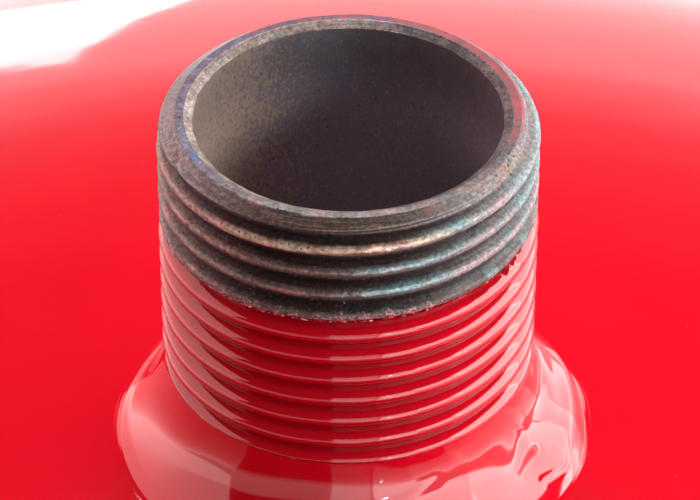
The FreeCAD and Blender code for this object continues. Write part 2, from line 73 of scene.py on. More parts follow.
VALVE_HOLE_RADIUS = 5.0
SHELL_COLUMNS = 288


def arc(centre, radius, start, end, count):
    """Points of a circle about (radius, height); its angles in degrees count from straight up."""
    angle = np.radians(np.linspace(start, end, count))
    return np.column_stack([centre[0] + radius * np.sin(angle), centre[1] + radius * np.cos(angle)])


def bearings(columns, start=0.0):
    """Even bearings round the axis in radians, as one row, from a start in degrees."""
    return np.radians(np.arange(columns) * 360.0 / columns + start)[None, :]


def about_axis(radius, bearing, height):
    """Corners at a radius, bearing and height: x = r sin(bearing), y = -r cos(bearing)."""
    places = radius * np.sin(bearing), -radius * np.cos(bearing), height
    return np.stack(np.broadcast_arrays(*places), axis=-1)


def turned_grid(outline, columns):
    """Corners of a closed outline of radius and height carried round the axis."""
    return about_axis(outline[:, :1], bearings(columns), outline[:, 1:])


def ring_faces(rows, columns):
    """Quads of a grid that closes on itself both ways."""
    row, column = np.meshgrid(np.arange(rows), np.arange(columns), indexing="ij")
    below, beside = (row + 1) % rows, (column + 1) % columns
    return np.stack([row * columns + column, row * columns + beside,
                     below * columns + beside, below * columns + column], axis=-1).reshape(-1, 4)


def add_object(name, data):
    thing = bpy.data.objects.new(name, data)
    bpy.context.scene.collection.objects.link(thing)
    return thing


def new_piece(name, corners, faces, material, body="tank", slot="red_paint", replaced=()):
    """A piece from corners in mm and quads or triangles, turned so that its faces point outwards."""
    corners = np.asarray(corners, float).reshape(-1, 3) * MM
    a, b, c, d = (corners[faces[:, k]] for k in (0, 1, 2, -1))
    if np.einsum("ij,ij->", a, np.cross(b - a, c - a) + np.cross(c - a, d - a)) < 0:
        faces = faces[:, ::-1]
    mesh = bpy.data.meshes.new(name)
    mesh.vertices.add(len(corners))
    mesh.vertices.foreach_set("co", corners.astype(np.float32).ravel())
    mesh.loops.add(faces.size)
    mesh.loops.foreach_set("vertex_index", np.ascontiguousarray(faces, np.int32).ravel())
    mesh.polygons.add(len(faces))
    mesh.polygons.foreach_set("loop_start", np.arange(0, faces.size, faces.shape[1], dtype=np.int32))
    mesh.update(calc_edges=True)
    mesh.materials.append(material)
    piece = add_object(name, mesh)
    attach(piece, body)
    if replaced:
        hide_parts(*replaced)
    return piece


def merge_doubles(piece, finish=None):
    """Joins the corners that lie on each other, so that seams and clamped rows close; finish may
    then work on the mesh. All its faces are smooth."""
    work = bmesh.new()
    work.from_mesh(piece.data)
    bmesh.ops.remove_doubles(work, verts=work.verts, dist=1e-7)
    if finish:
        finish(work)
    work.to_mesh(piece.data)
    work.free()
    piece.data.polygons.foreach_set("use_smooth", [True] * len(piece.data.polygons))
    piece.data.update()


def add_node(tree, kind, inputs=None, **settings):
    """A shader node with its settings; inputs gives a value, or the socket that feeds it."""
    made = tree.nodes.new("ShaderNode" + kind)
    for name, value in settings.items():
        setattr(made, name, value)
    for socket, value in (inputs or {}).items():
        if isinstance(value, bpy.types.NodeSocket):
            tree.links.new(value, made.inputs[socket])
        else:
            made.inputs[socket].default_value = value
    return made


def join(kind, inputs, **settings):
    """A node in the tree of the sockets that feed it; returns its outputs."""
    tree = next(value.id_data for value in inputs.values() if isinstance(value, bpy.types.NodeSocket))
    return add_node(tree, kind, inputs, **settings).outputs


def maths(operation, first, second=0.0, third=0.0):
    return join("Math", {0: first, 1: second, 2: third}, operation=operation)[0]


def times(first, second):
    return maths("MULTIPLY", first, second)


def linear(value, factor, added):
    """A value times a factor, plus another value."""
    return maths("MULTIPLY_ADD", value, factor, added)


def rise(value, start, end):
    """0 below start, 1 above end, smooth between; start may be above end."""
    inputs = {"Value": value, "From Min": start, "From Max": end}
    return join("MapRange", inputs, interpolation_type="SMOOTHSTEP")[0]


def blend(share, first, second, way="MIX"):
    return join("Mix", {0: share, 6: first, 7: second}, data_type="RGBA", blend_type=way)[2]


def noise(place, scale, detail=2.0, roughness=0.5):
    inputs = {"Vector": place, "Scale": scale, "Detail": detail, "Roughness": roughness}
    return join("TexNoise", inputs)["Fac"]


def bumped(height, strength, distance):
    """A normal that follows a height, over a distance in metres."""
    return join("Bump", {"Height": height, "Strength": strength, "Distance": distance})[0]


def feed(node, sources):
    """Links each named input of a node to the socket that feeds it."""
    for socket, source in sources.items():
        node.id_data.links.new(source, node.inputs[socket])


def colour(red, green, blue):
    return (red, green, blue, 1.0)


def in_mm(tree, stretch=(1.0, 1.0, 1.0)):
    """Object coordinates in mm; a stretch above 1 makes a pattern finer that way."""
    place = add_node(tree, "TexCoord").outputs["Object"]
    scale = tuple(1000.0 * share for share in stretch)
    return add_node(tree, "Mapping", {"Vector": place, "Scale": scale}).outputs[0]


def new_group(name, inputs, outputs):
    """An empty node group with sockets of named kinds; returns its tree and the sockets given."""
    tree = bpy.data.node_groups.new(name, "ShaderNodeTree")
    for way, sockets in (("INPUT", inputs), ("OUTPUT", outputs)):
        for socket, kind in sockets.items():
            tree.interface.new_socket(socket, in_out=way, socket_type="NodeSocket" + kind)
    return tree, tree.nodes.new("NodeGroupInput").outputs


def new_material(name):
    material = bpy.data.materials.new(name)
    material.use_nodes = True
    tree = material.node_tree
    return material, tree, tree.nodes["Principled BSDF"]


def enamel_group():
    """Sprayed enamel: a slow waviness, a fine orange peel, dust nibs and a faint cloudiness."""
    tree, given = new_group(
        "enamel_film", {"Colour": "Color", "Peel": "Float", "Dust": "Float", "Roughness": "Float"},
        {"Colour": "Color", "Roughness": "Float", "Normal": "Vector"})
    place = in_mm(tree)
    cloud = noise(place, 0.06, 3.0)
    deeper = blend(1.0, given["Colour"], colour(0.94, 0.86, 0.88), "MULTIPLY")
    tone = blend(rise(cloud, 0.35, 0.65), deeper, given["Colour"])
    cells = add_node(tree, "TexVoronoi", {"Vector": place, "Scale": 0.55})
    nib = rise(cells.outputs["Distance"], 0.085, 0.03)
    nib = times(nib, rise(noise(place, 0.8, 1.0), 0.52, 0.6))
    nib = times(nib, given["Dust"])
    tone = blend(times(nib, 0.45), tone, colour(0.6, 0.2, 0.2))
    rough = linear(noise(place, 0.35, 4.0), 0.03, given["Roughness"])
    rough = linear(nib, 0.3, rough)
    slow = noise(place, 0.12, 1.0)
    peel = noise(place, 0.9, 2.0)
    height = linear(slow, 5.0, times(peel, 0.35))
    height = times(height, given["Peel"])
    height = linear(nib, 3.0, height)
    feed(tree.nodes.new("NodeGroupOutput"),
         {"Colour": tone, "Roughness": rough, "Normal": bumped(height, 0.35, 0.00002)})
    return tree


ENAMEL_RED = colour(0.5, 0.0018, 0.011)
enamel_film = enamel_group()


def enamel(name, peel, dust, roughness):
    """Gloss red enamel over steel."""
    material, tree, shader = new_material(name)
    given = {"Colour": ENAMEL_RED, "Peel": peel, "Dust": dust, "Roughness": roughness}
    film = add_node(tree, "Group", given, node_tree=enamel_film).outputs
    feed(shader, {"Base Color": film["Colour"], "Roughness": film["Roughness"],
                  "Normal": film["Normal"]})
    shader.inputs["IOR"].default_value = 1.5
    return material


def half_shell_outline(hole_radius):
    """Radius and height above the girth plane, round the whole section, crown hole to crown hole."""
    knuckle_place = SHELL_RADIUS - KNUCKLE_RADIUS
    head_start = STRAIGHT_LENGTH / 2
    head_angle = math.degrees(math.asin(knuckle_place / (CROWN_RADIUS - KNUCKLE_RADIUS)))
    crown_centre = head_start - (CROWN_RADIUS - KNUCKLE_RADIUS) * math.cos(math.radians(head_angle))
    inner_crown = CROWN_RADIUS - SHELL_WALL
    flange_back = FLANGE_FACE + SHELL_WALL
    bend = (SHELL_RADIUS + FLANGE_BEND, flange_back + FLANGE_BEND)
    outer_hole = math.degrees(math.asin(hole_radius / CROWN_RADIUS))
    inner_hole = math.degrees(math.asin(hole_radius / inner_crown))
    flange = SHELL_RADIUS + FLANGE_REACH
    straight = np.linspace(head_start, bend[1], 10)[1:-1]
    return np.concatenate([
        arc((0, crown_centre), CROWN_RADIUS, outer_hole, head_angle, 46),
        arc((knuckle_place, head_start), KNUCKLE_RADIUS, head_angle, 90, 24)[1:],
        np.column_stack([np.full(len(straight), SHELL_RADIUS), straight]),
        arc(bend, FLANGE_BEND, 270, 180, 7),
        [[flange - FLANGE_EDGE, flange_back], [flange, flange_back - FLANGE_EDGE]],
        [[flange, FLANGE_FACE + FLANGE_EDGE], [flange - FLANGE_EDGE, FLANGE_FACE]],
        arc(bend, FLANGE_BEND + SHELL_WALL, 180, 270, 7),
        np.column_stack([np.full(len(straight), SHELL_RADIUS - SHELL_WALL), straight[::-1]]),
        arc((knuckle_place, head_start), KNUCKLE_RADIUS - SHELL_WALL, 90, head_angle, 14),
        arc((0, crown_centre), inner_crown, head_angle, inner_hole, 24)[1:],
    ]), crown_centre


ring_low, ring_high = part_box("clench_ring")
GIRTH = (ring_low.z + ring_high.z) / 2 / MM
shell_enamel = enamel("shell_enamel", 1.0, 0.25, 0.06)
for shell, hole_radius, upward in (("upper_shell", WATER_HOLE_RADIUS, 1),
                                   ("lower_shell", VALVE_HOLE_RADIUS, -1)):
    outline, crown_centre = half_shell_outline(hole_radius)
    outline = np.column_stack([outline[:, 0], GIRTH + upward * outline[:, 1]])
    vessel_half = new_piece(shell + "_enamelled", turned_grid(outline, SHELL_COLUMNS),
                            ring_faces(len(outline), SHELL_COLUMNS), shell_enamel, replaced=[shell])
    merge_doubles(vessel_half)
CROWN_CENTRE = GIRTH + crown_centre
FLOOR_CLEARANCE = GIRTH - crown_centre - CROWN_RADIUS


def crown_height(radius):
    """How high the crown lies above the floor, that far out from the axis."""
    return CROWN_CENTRE + np.sqrt(CROWN_RADIUS ** 2 - radius ** 2)


# A steel band of U section is rolled shut over both flanges. The rolls leave it slightly wavy,
# and it is enamelled with the vessel.
RING_WALL = 2.0
RING_LIP = 7.0
RING_CORNER = 2.6
RING_EDGE = 0.6
RING_COLUMNS = 384


def ring_outline():
    """The band's U section about the girth, from its upper lip over the outside to its lower lip."""
    inside = FLANGE_FACE + SHELL_WALL
    outside = inside + RING_WALL
    lip = SHELL_RADIUS + FLANGE_REACH - RING_LIP
    reach = SHELL_RADIUS + FLANGE_REACH + RING_WALL
    upper = np.concatenate([
        [[lip, inside]],
        arc((lip + RING_EDGE, outside - RING_EDGE), RING_EDGE, 270, 360, 5),
        [[(lip + reach) / 2, outside]],
        arc((reach - RING_CORNER, outside - RING_CORNER), RING_CORNER, 0, 90, 9),
    ])
    back = np.array([[reach - RING_WALL, -inside], [reach - RING_WALL, inside]])
    return np.concatenate([upper, upper[::-1] * (1, -1), back])


outline = ring_outline()
corners = turned_grid(outline + (0, GIRTH), RING_COLUMNS)
bearing = bearings(RING_COLUMNS)
rolled = 0.05 * np.sin(9 * bearing) + 0.035 * np.sin(31 * bearing + 1.0) + 0.02 * np.sin(74 * bearing)
corners[:, :, :2] *= (1 + rolled / SHELL_RADIUS)[..., None]
ring = new_piece("clench_ring_enamelled", corners, ring_faces(len(outline), RING_COLUMNS),
                 enamel("ring_enamel", 1.2, 0.5, 0.07), replaced=["clench_ring"])
merge_doubles(ring)


# The water connection is a nipple of steel pipe with an outside pipe thread, faced in a lathe.
# Heat has tinted its bare turns; the paint reaches up to the fourth turn, where a cap kept it off.
PITCH = 2.309
FLANK = math.radians(27.5)
CREST_ROUNDING = 0.5
ROOT_ROUNDING = 0.32
CREST_RADIUS = 16.625
FIRST_CREST = -2.48
RIM_RADIUS = 14.95
RIM_INSIDE = 14.2
CHAMFER_DEPTH = 1.3
BORE_RADIUS = 13.45
BORE_EDGE = -0.5
PAINT_EDGE = [(-180, -10.1), (-130, -10.4), (-78, -10.9), (-64, -10.0), (-54, -10.5), (-43, -10.45),
              (-34, -10.15), (-20, -10.1), (0, -9.95), (9, -9.9), (16, -9.85), (31, -9.95),
              (39, -10.05), (51, -10.2), (66, -10.3), (78, -9.6), (130, -9.8), (180, -10.1)]
SCRATCHES = [((33, -2.4), (35, -2.8), 0.2, 0.12), ((40, -3.7), (43, -3.5), 0.22, 0.15),
             ((52, -3.1), (53, -3.4), 0.25, 0.15), ((-12.5, -2.2), (-11, -2.4), 0.12, 0.09),
             ((-8.5, -2.3), (-7, -2.5), 0.12, 0.09), ((60, -5.7), (62, -5.9), 0.25, 0.16),
             ((68, -5.1), (68, -5.6), 0.2, 0.12)]
RIM_NICK = ((-70, -0.5), (-58, -1.5), 0.16, 0.22)
NIPPLE_COLUMNS = 600
NIPPLE_ROWS_PER_PITCH = 20
BARE_BOTTOM = -13.1
LOWER_RADIUS = 15.0
BORE_LEVELS = (-28, -22, -17, -13, -10, -8, -6.5, -5, -4, -3, -2.2, -1.6, -1.1, -0.75)
BARE_DIP = 0.3
FACING_FEED = 0.19
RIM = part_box("pipe_nipple")[1].z / MM


def waves(bearing, height, seed, count, longest, shortest):
    """A rough field of about -1 to 1: plane waves of random heading, whole turns round the axis."""
    draw = np.random.default_rng(seed)
    field = 0.0
    for _ in range(count):
        length = longest * (shortest / longest) ** draw.random()
        heading = draw.uniform(0, 2 * math.pi)
        turns = round(2 * math.pi * CREST_RADIUS * math.cos(heading) / length)
        climb = 2 * math.pi * math.sin(heading) / length
        field = field + np.sin(turns * bearing + climb * height + draw.uniform(0, 2 * math.pi))
    return field / math.sqrt(count / 2)


def smooth_step(value, start, end):
    share = np.clip((value - start) / (end - start), 0, 1)
    return share * share * (3 - 2 * share)


def thread_radius(below):
    """The pipe thread's form: flanks at 27.5 degrees, its crest worn round and its root rounded.
    below is how far under a crest line a point lies, in mm."""
    step = np.abs((below + PITCH / 2) % PITCH - PITCH / 2)
    root_step = PITCH / 2 - step
    crest_half = CREST_ROUNDING * math.cos(FLANK)
    crest_drop = CREST_ROUNDING * (1 - math.sin(FLANK))
    root_half = ROOT_ROUNDING * math.cos(FLANK)
    root_drop = ROOT_ROUNDING * (1 - math.sin(FLANK))
    depth = crest_drop + root_drop + (PITCH / 2 - crest_half - root_half) / math.tan(FLANK)
    crest = CREST_ROUNDING - np.sqrt(np.maximum(CREST_ROUNDING ** 2 - step ** 2, 0))
    root = ROOT_ROUNDING - np.sqrt(np.maximum(ROOT_ROUNDING ** 2 - root_step ** 2, 0))
    flank = crest_drop + (step - crest_half) / math.tan(FLANK)
    drop = np.where(step < crest_half, crest, np.where(root_step < root_half, depth - root, flank))
    return CREST_RADIUS - drop


def helix_rows(first, last, rows_per_pitch):
    """Depths below the first crest line, a whole number of pitches, closer at crests and roots."""
    pitches = math.ceil((last - first) / PITCH)
    count = np.arange(pitches * rows_per_pitch + 1) / rows_per_pitch
    gather = 0.45 * np.sin(4 * math.pi * count) / (4 * math.pi)
    return first + PITCH * (count - gather)


def helix_faces(helix, plain, columns, rows_per_pitch):
    """Quads of a grid whose first rows follow the thread and so meet one pitch further on at the
    seam, and whose other rows are plain rings that meet themselves; the last joins the first."""
    rows = helix + plain
    row = np.arange(rows)
    shifted = np.where(row < helix, np.maximum(row - rows_per_pitch, 0), row)
    index = np.arange(rows * columns).reshape(rows, columns)
    index = np.hstack([index, index[shifted, :1]])
    index = np.vstack([index, index[:1]])
    quads = np.stack([index[:-1, :-1], index[:-1, 1:], index[1:, 1:], index[1:, :-1]], axis=-1)
    return quads.reshape(-1, 4)


def paint_edge(bearing):
    """Height of the torn edge of the paint, against the rim, with its small tears."""
    places, heights = zip(*PAINT_EDGE)
    edge = np.interp(np.degrees(bearing), places, heights)
    tears = waves(bearing, 0 * bearing, 5, 30, 9.0, 0.9)
    fine = waves(bearing, 0 * bearing, 6, 40, 1.2, 0.35)
    return edge + 0.1 * tears + 0.07 * fine


def from_line(bearing, level, start, end, unroll_radius):
    """Where points lie against a line on the unrolled surface: the share of it that they have
    passed, and how far they are off it round the axis and down. Its ends are bearings in degrees
    and levels."""
    (ax, ay), (bx, by) = ((math.radians(turned) * unroll_radius, at) for turned, at in (start, end))
    aside, down = bearing * unroll_radius - ax, level - ay
    share = (aside * (bx - ax) + down * (by - ay)) / ((bx - ax) ** 2 + (by - ay) ** 2)
    share = np.clip(share, 0, 1)
    return share, aside - share * (bx - ax), down - share * (by - ay)


def groove(bearing, height, start, end, width, depth):
    """How deep a scratch from start to end cuts in: a bell curve of the distance to its line."""
    _, aside, down = from_line(bearing, height, start, end, CREST_RADIUS)
    return depth * np.exp(-(np.hypot(aside, down) / width) ** 2)


def add_rings(radius, height, rings):
    """Puts plain rings, each a radius and a height, under the rows of a grid."""
    shape = (len(rings), radius.shape[1])
    radius = np.vstack([radius, np.broadcast_to(rings[:, :1], shape)])
    return radius, np.vstack([height, np.broadcast_to(rings[:, 1:], shape)])


def nipple_grid():
    """The bare nipple: helical rows over its thread, then plain rings down, up its bore and over
    its rim. Returns its corners, how far each lies above the paint's edge, and its faces."""
    depths = helix_rows(-1.5 * PITCH, FIRST_CREST + PITCH / 2 - BARE_BOTTOM, NIPPLE_ROWS_PER_PITCH)
    bearing = bearings(NIPPLE_COLUMNS, -180.0)
    depth = depths[:, None]
    height = FIRST_CREST + PITCH * bearing / (2 * math.pi) - depth
    radius = np.broadcast_to(thread_radius(depth), height.shape).copy()
    crest_share = smooth_step(radius, CREST_RADIUS - 0.5, CREST_RADIUS)
    worn = 0.018 * waves(bearing, height, 11, 60, 6.0, 0.5)
    worn = worn + 0.01 * waves(bearing, height, 12, 60, 0.9, 0.25)
    radius += worn * (0.4 + 0.6 * crest_share) - 0.02 * crest_share
    above = height - paint_edge(bearing)
    crust = smooth_step(above, 1.0, 0.1)
    radius += crust * (0.022 * waves(bearing, height, 13, 80, 0.8, 0.3) + 0.01)
    radius -= BARE_DIP * smooth_step(above, -0.05, -0.45)
    for scratch in SCRATCHES:
        radius -= groove(bearing, height, *scratch)
    chamfer = RIM_RADIUS - height * (CREST_RADIUS - RIM_RADIUS) / CHAMFER_DEPTH
    chamfer += 0.01 * waves(bearing, height, 14, 40, 3.0, 0.4)
    radius = np.minimum(radius, chamfer - groove(bearing, height, *RIM_NICK))
    radius = np.where(height >= 0, RIM_RADIUS, radius)
    radius = np.where(height <= BARE_BOTTOM, LOWER_RADIUS, radius)
    height = np.clip(height, BARE_BOTTOM, 0)
    inner_foot = crown_height(BORE_RADIUS) - RIM
    rings = [(LOWER_RADIUS, crown_height(LOWER_RADIUS) - RIM)]
    rings += [(BORE_RADIUS + 0.5, inner_foot), (BORE_RADIUS, inner_foot + 0.5)]
    rings += [(BORE_RADIUS, level) for level in BORE_LEVELS + (BORE_EDGE - 0.03,)]
    rings += [(BORE_RADIUS + share * (RIM_INSIDE - BORE_RADIUS), BORE_EDGE * (1 - share))
              for share in np.linspace(0, 1, 14)]
    rings += [(out, 0.0) for out in np.linspace(RIM_INSIDE + 0.05, RIM_RADIUS - 0.05, 8)]
    rings = np.array(rings)
    helical = len(radius)
    radius, height = add_rings(radius, height, rings)
    plain_radius, plain_height = radius[helical:], height[helical:]
    inside = (rings[:, :1] <= BORE_RADIUS + 0.01) & (rings[:, 1:] > -28.5)
    plain_radius += inside * 0.02 * waves(bearing, plain_height, 15, 40, 14.0, 1.5)
    faced = rings[:, :1] > BORE_RADIUS + 0.01
    facing = 0.003 * np.sin(rings[:, :1] * 2 * math.pi / FACING_FEED + bearing)
    plain_height += faced * (facing + 0.004 * waves(bearing, plain_radius, 16, 60, 2.5, 0.35))
    above = np.where(radius < RIM_RADIUS, 20.0, height - paint_edge(bearing))
    faces = helix_faces(helical, len(rings), NIPPLE_COLUMNS, NIPPLE_ROWS_PER_PITCH)
    return about_axis(radius, bearing, RIM + height), above, faces


def layered(tone, *layers):
    """Lays colours over a tone in turn; each layer is a mask and its colour."""
    for mask, over in layers:
        tone = blend(mask, tone, over)
    return tone


def steel_group():
    """Turned steel of a given tone: streaks along the cut, a fine grit, light flecks, dark pits."""
    tree, given = new_group("turned_steel", {"Tone": "Color"},
                            {"Colour": "Color", "Roughness": "Float", "Height": "Float"})
    plain = in_mm(tree)
    streak = noise(in_mm(tree, (0.12, 0.12, 9.0)), 0.9, 4.0, 0.65)
    grit = noise(plain, 2.8, 4.0, 0.75)
    patch = noise(plain, 0.16, 3.0, 0.6)
    streaked = linear(streak, 1.5, 0.25)
    gritty = linear(rise(grit, 0.32, 0.68), 0.9, 0.5)
    scaled = {0: given["Tone"], "Scale": times(streaked, gritty)}
    tone = add_node(tree, "VectorMath", scaled, operation="SCALE").outputs[0]
    stained = noise(in_mm(tree, (0.45, 0.45, 2.2)), 1.2, 5.0, 0.75)
    tone = blend(rise(stained, 0.5, 0.64), tone, colour(0.8, 1.08, 1.1), "MULTIPLY")
    tone = blend(rise(stained, 0.48, 0.34), tone, colour(1.22, 0.88, 0.84), "MULTIPLY")
    cells = add_node(tree, "TexVoronoi", {"Vector": plain, "Scale": 1.3})
    pit = times(rise(cells.outputs["Distance"], 0.22, 0.1), rise(patch, 0.48, 0.6))
    tone = layered(tone, (times(rise(grit, 0.62, 0.72), 0.5), colour(0.36, 0.31, 0.29)),
                   (times(pit, 0.85), colour(0.02, 0.013, 0.013)))
    rough = linear(streak, 0.22, 0.34)
    rough = linear(pit, 0.3, rough)
    height = linear(grit, 0.5, maths("SUBTRACT", streak, pit))
    feed(tree.nodes.new("NodeGroupOutput"), {"Colour": tone, "Roughness": rough, "Height": height})
    return tree


turned_steel = steel_group()


def nipple_steel():
    """Heat-tinted bare steel: straw crests at the left, teal ones at the right, the first turn's the
    brightest; plum grooves, their roots painted darker as shade and grime; a stained rim; a dark bore
    with rust at its left, painted paler further down as light; and dry paint by the torn edge."""
    material, tree, shader = new_material("nipple_steel")
    place = in_mm(tree)
    axes = add_node(tree, "SeparateXYZ", {"Vector": place})
    across, away, height = axes.outputs["X"], axes.outputs["Y"], axes.outputs["Z"]
    flat = add_node(tree, "CombineXYZ", {"X": across, "Y": away})
    radius = add_node(tree, "VectorMath", {0: flat.outputs[0]}, operation="LENGTH").outputs["Value"]
    below_rim = maths("SUBTRACT", RIM, height)
    bearing = maths("ARCTAN2", across, times(away, -1.0))
    patch = noise(place, 0.2, 4.0, 0.6)
    mottle = noise(place, 0.55, 4.0, 0.65)
    mottled = rise(mottle, 0.38, 0.62)
    to_left, to_right = rise(across, -5.0, -13.5), rise(across, 3.0, 12.5)

    depth = linear(below_rim, 1 / PITCH, FIRST_CREST / PITCH)
    turn = linear(bearing, 0.5 / math.pi, depth)
    past_first = rise(turn, 0.35, 0.65)
    crest = layered(
        blend(mottled, colour(0.3, 0.21, 0.155), colour(0.52, 0.38, 0.28)),
        (past_first, colour(0.125, 0.092, 0.078)),
        (times(rise(across, -2.0, 4.0), past_first), colour(0.17, 0.2, 0.205)),
        (to_right, colour(0.175, 0.165, 0.17)),
        (rise(turn, 2.4, 2.7), colour(0.075, 0.056, 0.05)),
        (times(to_left, 0.8), colour(0.14, 0.108, 0.098)))
    teal = times(rise(patch, 0.5, 0.6), rise(across, -1.0, 5.0))
    teal = times(teal, rise(radius, 15.9, 16.3))
    rosy = times(rise(patch, 0.47, 0.36), rise(radius, 16.1, 16.5))
    # Painted shade and oily grime: the roots below the first turn are painted near black, where shade
    # gathers.
    groove_grime_and_shade = times(rise(radius, 16.0, 15.6), rise(below_rim, 1.0, 1.6))
    tone = layered(
        colour(0.055, 0.034, 0.031),
        (to_left, colour(0.105, 0.08, 0.076)),
        (to_right, colour(0.125, 0.12, 0.12)),
        (rise(linear(mottle, 0.3, radius), 16.25, 16.6), crest),
        (times(teal, 0.65), colour(0.13, 0.23, 0.24)),
        (times(rosy, 0.4), colour(0.36, 0.2, 0.2)),
        (times(groove_grime_and_shade, 0.85), colour(0.028, 0.013, 0.014)))

    burnt = rise(noise(in_mm(tree, (0.25, 0.25, 6.0)), 0.8, 3.0, 0.6), 0.48, 0.62)
    burnt = times(burnt, rise(to_left, 0.9, 0.1))
    edge = layered(
        colour(0.075, 0.056, 0.05),
        (to_left, colour(0.14, 0.118, 0.118)),
        (to_right, colour(0.135, 0.115, 0.12)),
        (times(burnt, 0.6), colour(0.19, 0.105, 0.068)),
        (times(teal, 0.5), colour(0.16, 0.27, 0.29)))
    tone = blend(rise(below_rim, 1.45, 1.25), tone, edge)

    left_land = blend(mottled, colour(0.14, 0.1, 0.086), colour(0.27, 0.21, 0.185))
    right_land = blend(mottled, colour(0.06, 0.042, 0.044), colour(0.13, 0.098, 0.095))
    land = blend(rise(across, -1.0, 6.0), left_land, right_land)
    blue = times(rise(bearing, -1.19, -1.13), rise(bearing, -1.02, -1.08))
    ring = layered(
        blend(mottled, colour(0.06, 0.04, 0.068), colour(0.11, 0.078, 0.115)),
        (rise(across, 2.0, 9.0), colour(0.085, 0.062, 0.066)),
        (rise(away, -6.0, -11.0),
         blend(mottled, colour(0.09, 0.066, 0.064), colour(0.155, 0.118, 0.112))),
        (times(blue, 0.7), colour(0.045, 0.07, 0.15)))
    face = blend(rise(radius, RIM_INSIDE - 0.02, RIM_INSIDE + 0.04), land, ring)
    on_face = rise(radius, RIM_RADIUS + 0.02, RIM_RADIUS - 0.02)
    tone = blend(on_face, tone, face)
    steel = add_node(tree, "Group", {"Tone": tone}, node_tree=turned_steel)

    stained = times(rise(radius, RIM_INSIDE, RIM_INSIDE + 0.12), rise(radius, 15.3, 15.1))
    around = maths("MAXIMUM", rise(bearing, 1.15, 1.45), rise(bearing, -2.4, -2.7))
    solid = times(rise(bearing, 1.42, 1.7), rise(bearing, 2.8, 2.55))
    kept = linear(solid, 0.22, noise(place, 2.2, 4.0, 0.7))
    stain = times(times(stained, around), rise(kept, 0.46, 0.54))
    stain_dark = blend(solid, colour(0.1, 0.035, 0.04), colour(0.13, 0.018, 0.022))
    stain_tone = blend(mottled, stain_dark, colour(0.24, 0.016, 0.025))

    in_bore = times(rise(radius, 13.56, 13.5), rise(below_rim, 0.5, 0.56))
    bore_place = in_mm(tree, (1.0, 1.0, 0.6))
    # Painted light: further down, the bore and its rust are painted paler, standing in for the light
    # that reaches deep into it.
    lower = rise(below_rim, 2.0, 10.0)
    rust = linear(rise(across, 0.0, -12.5), 0.15, noise(bore_place, 3.6, 5.0, 0.8))
    rust_and_painted_light = blend(lower, colour(0.22, 0.145, 0.095), colour(0.62, 0.42, 0.26))
    soot = rise(noise(place, 2.6, 5.0, 0.75), 0.58, 0.66)
    bore_tone = layered(
        colour(0.072, 0.062, 0.08),
        (rise(noise(bore_place, 0.3, 5.0, 0.6), 0.3, 0.7), colour(0.105, 0.092, 0.112)),
        (lower, colour(0.26, 0.245, 0.31)),
        (times(rise(rust, 0.55, 0.66), 0.8), rust_and_painted_light),
        (times(soot, 0.6), colour(0.03, 0.022, 0.026)))

    gap = add_node(tree, "Attribute", attribute_name="above_paint").outputs["Fac"]
    crumb = noise(in_mm(tree, (0.8, 0.8, 1.5)), 2.4, 6.0, 0.85)
    thick = rise(noise(place, 0.22, 2.0), 0.4, 0.6)
    band = times(rise(gap, 1.2, 0.3), linear(thick, 0.17, 0.13))
    crust = rise(maths("ADD", crumb, band), 0.6, 0.66)
    crust = times(crust, rise(gap, 2.0, 1.2))
    crumb_tone = blend(rise(noise(place, 4.5, 3.0), 0.42, 0.6),
                       colour(0.06, 0.012, 0.014), colour(0.4, 0.2, 0.21))
    metal = layered(steel.outputs["Colour"],
                    (stain, stain_tone), (in_bore, bore_tone), (crust, crumb_tone))

    matt = maths("MAXIMUM", maths("MAXIMUM", crust, stain), times(in_bore, 0.75))
    matt = maths("MAXIMUM", matt, times(on_face, 0.55))
    matt = maths("MAXIMUM", matt, linear(to_right, 0.35, 0.3))
    rough = linear(in_bore, 0.15, steel.outputs["Roughness"])
    rough = linear(to_right, 0.15, rough)
    crumbly = times(crust, times(crumb, 2.0))
    relief = maths("ADD", steel.outputs["Height"], crumbly)
    feed(shader, {"Base Color": metal, "Metallic": maths("SUBTRACT", 1.0, matt),
                  "Roughness": rough, "Normal": bumped(relief, 0.7, 0.00004)})
    return material


def store(piece, name, values):
    """Keeps a value for each corner of a piece, which its material reads."""
    kept = piece.data.attributes.new(name, "FLOAT", "POINT")
    kept.data.foreach_set("value", values.astype(np.float32).ravel())


corners, above_paint, faces = nipple_grid()
nipple = new_piece("pipe_nipple_threaded", corners, faces, nipple_steel(), slot="bare_steel",
                   replaced=["pipe_nipple"])
store(nipple, "above_paint", above_paint)
merge_doubles(nipple)


# The enamel runs over the nipple's lower turns. It has filled their roots and rounded their
# crests, and it ends above in a torn edge where the cap was pulled off.
COAT_RADIUS = CREST_RADIUS + 0.075
COAT_CREST = 0.75
COAT_FLANK = 2.7
COAT_TURN = math.radians(41)
COAT_COLUMNS = 576
COAT_ROWS_PER_PITCH = 18
COAT_TOP = -8.1
COAT_BOTTOM = -26.9
COAT_INSIDE = 14.6
COAT_DIP = 0.16
SEAM = -25.6
SEAM_RADIUS = CREST_RADIUS - 0.25


def coated_radius(below):
    """The coated turn: a small arc over the crest runs on in a wider one down to a sharp root."""
    step = np.abs((below + PITCH / 2) % PITCH - PITCH / 2)
    crest = COAT_CREST - np.sqrt(np.maximum(COAT_CREST ** 2 - step ** 2, 0))
    flank_place = (COAT_CREST - COAT_FLANK) * math.sin(COAT_TURN)
    flank_depth = COAT_CREST + (COAT_FLANK - COAT_CREST) * math.cos(COAT_TURN)
    flank = flank_depth - np.sqrt(COAT_FLANK ** 2 - (step - flank_place) ** 2)
    return COAT_RADIUS - np.where(step < COAT_CREST * math.sin(COAT_TURN), crest, flank)


